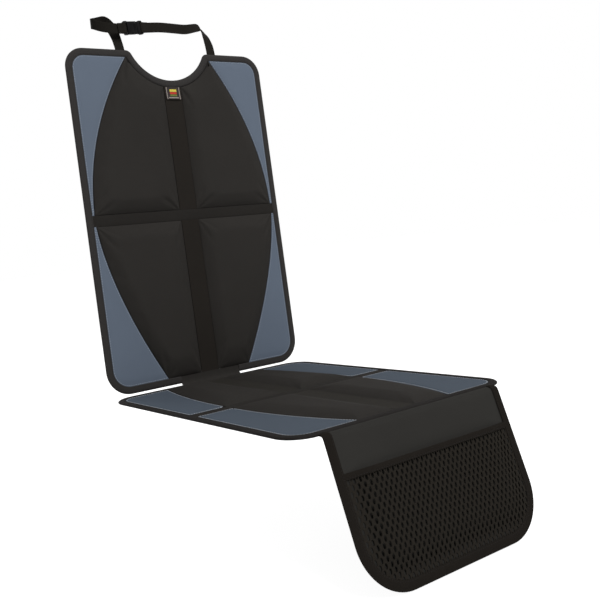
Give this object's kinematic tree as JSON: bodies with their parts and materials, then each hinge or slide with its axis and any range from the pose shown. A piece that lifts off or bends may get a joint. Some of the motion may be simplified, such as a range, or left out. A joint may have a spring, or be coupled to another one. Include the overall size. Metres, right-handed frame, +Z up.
{
  "type": "car seat protector mat",
  "caption": "Padded two-panel mat that lies on a car seat and up its back, with a hanging front flap, a mesh pocket and a buckled headrest strap.",
  "frame": {"origin": "centre of the seat panel's underside, which lies on the car seat", "axes": "+X across the mat to the right of someone sitting in front of it, +Y towards the seat back, +Z up"},
  "size_m": [0.45, 0.7186, 0.9626],
  "materials": {
    "face_cloth": "matt black woven polyester",
    "channel_cloth": "matt black-brown knitted polyester",
    "patch_cloth": "matt blue-grey woven polyester",
    "grip_cloth": "black non-slip dotted backing",
    "foam": "dark grey foam sheet",
    "binding_tape": "black grosgrain binding tape",
    "label_cloth": "woven label",
    "mesh_cloth": "black knitted net",
    "webbing": "black polypropylene webbing",
    "buckle_plastic": "black moulded acetal"
  },
  "bodies": {
    "root": {"back_backing": "grip_cloth", "back_foam_lining": "foam", "back_binding": "binding_tape", "back_cross_band": "face_cloth", "back_channel_lower": "channel_cloth", "back_pad_lower_left": "face_cloth", "back_patch_lower_left": "patch_cloth", "back_pad_lower_right": "face_cloth", "back_patch_lower_right": "patch_cloth", "back_channel_upper": "channel_cloth", "back_pad_upper_left": "face_cloth", "back_patch_upper_left": "patch_cloth", "back_pad_upper_right": "face_cloth", "back_patch_upper_right": "patch_cloth", "seat_backing": "grip_cloth", "seat_foam_lining": "foam", "seat_binding": "binding_tape", "seat_cross_band": "face_cloth", "seat_channel_rear": "channel_cloth", "seat_pad_rear_left": "face_cloth", "seat_patch_rear_left": "patch_cloth", "seat_pad_rear_right": "face_cloth", "seat_patch_rear_right": "patch_cloth", "seat_channel_front": "channel_cloth", "seat_pad_front_left": "face_cloth", "seat_patch_front_left": "patch_cloth", "seat_pad_front_right": "face_cloth", "seat_patch_front_right": "patch_cloth", "joining_tongue": "face_cloth", "woven_label": "label_cloth", "flap_cloth": "face_cloth", "flap_binding": "binding_tape", "mesh_pocket": "mesh_cloth", "pocket_band": "binding_tape", "strap_left": "webbing", "strap_right": "webbing", "buckle_socket": "buckle_plastic", "buckle_plug": "buckle_plastic"}
  },
  "joints": []
}
